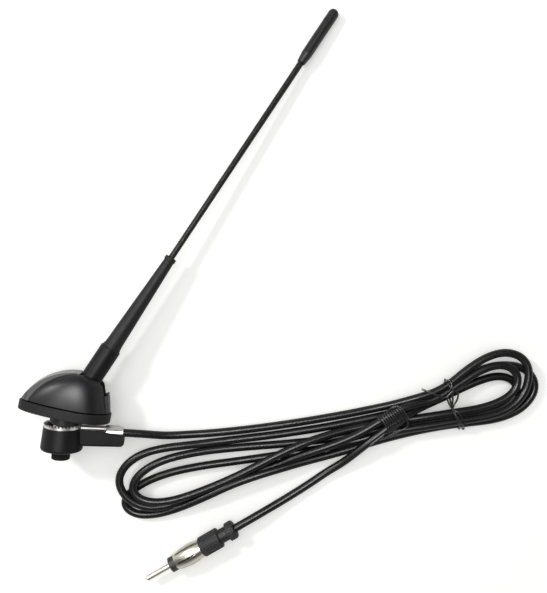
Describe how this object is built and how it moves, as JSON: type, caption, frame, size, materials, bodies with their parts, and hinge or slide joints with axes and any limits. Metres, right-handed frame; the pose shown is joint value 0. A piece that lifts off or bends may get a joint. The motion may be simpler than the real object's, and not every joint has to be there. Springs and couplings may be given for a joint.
{
  "type": "car roof antenna",
  "caption": "Black roof-mount car radio antenna: folding screw-in whip on a dome base with a rubber gasket and a toothed clamp, and a long coax lead tied in a hank with a radio plug.",
  "frame": {"origin": "centre of the footprint of the antenna lying on its side, at table height; the lead's hank, its plug and ties are left out of that footprint", "axes": "+X to the right and +Y up in the picture, +Z up off the table; the antenna lies with its left side up, the mast runs up and to the right, and the lead's hank lies on the same table"},
  "size_m": [0.2937, 0.3278, 0.03],
  "materials": {
    "dome_plastic": "satin moulded shell with a fine grain",
    "gasket_rubber": "matt, fine grain",
    "black_casting": "satin black coat",
    "pivot_steel": "turned",
    "nylon": "natural, slightly waxy",
    "contact_brass": "turned",
    "zinc_screw": "zinc plated",
    "foot_black": "satin",
    "sleeve_rubber": "matt, grained",
    "rod_black": "fine spiral winding under a black coat",
    "cap_plastic": "satin",
    "bright_nickel": "nickel plated",
    "housing_plastic": "satin",
    "black_screw": "black coat",
    "copper_wire": "drawn",
    "lead_jacket": "satin, soft extruded jacket",
    "tie_wire": "satin",
    "plug_black": "grained",
    "plug_insulation": "satin, dark grey"
  },
  "bodies": {
    "base": {"base_gasket": "gasket_rubber", "dome_cover": "dome_plastic", "base_bracket": "black_casting", "pivot_pin": "pivot_steel", "pivot_washers": "nylon", "insulator_bush": "nylon", "live_insert": "contact_brass", "contact_leaf": "contact_brass", "cover_screws": "zinc_screw", "earth_plate": "bright_nickel", "lead_housing": "housing_plastic", "clamp_screw": "black_screw", "clamp_washer": "black_screw", "core_terminal": "contact_brass", "lead_ferrule": "bright_nickel", "centre_conductor": "copper_wire", "lead_run_base": "lead_jacket", "lead_run_plug": "lead_jacket", "lead_hank": "lead_jacket", "hank_tie": "tie_wire", "wrap_tie": "tie_wire", "plug_handle": "plug_black", "plug_shield": "bright_nickel", "plug_insulator": "plug_insulation", "plug_pin": "bright_nickel"},
    "mast": {"mast_foot": "foot_black", "mast_seal_ring": "gasket_rubber", "mast_thread": "contact_brass", "mast_sleeve": "sleeve_rubber", "whip_rod": "rod_black", "tip_cap": "cap_plastic"}
  },
  "joints": [
    {"name": "mast_tilt", "type": "hinge", "parent": "base", "child": "mast", "pos_m": [-0.05453, -0.08961, 0.01519], "axis": [-0.1576, 0.0477, -0.9863], "range_deg": [0, 40]}
  ]
}
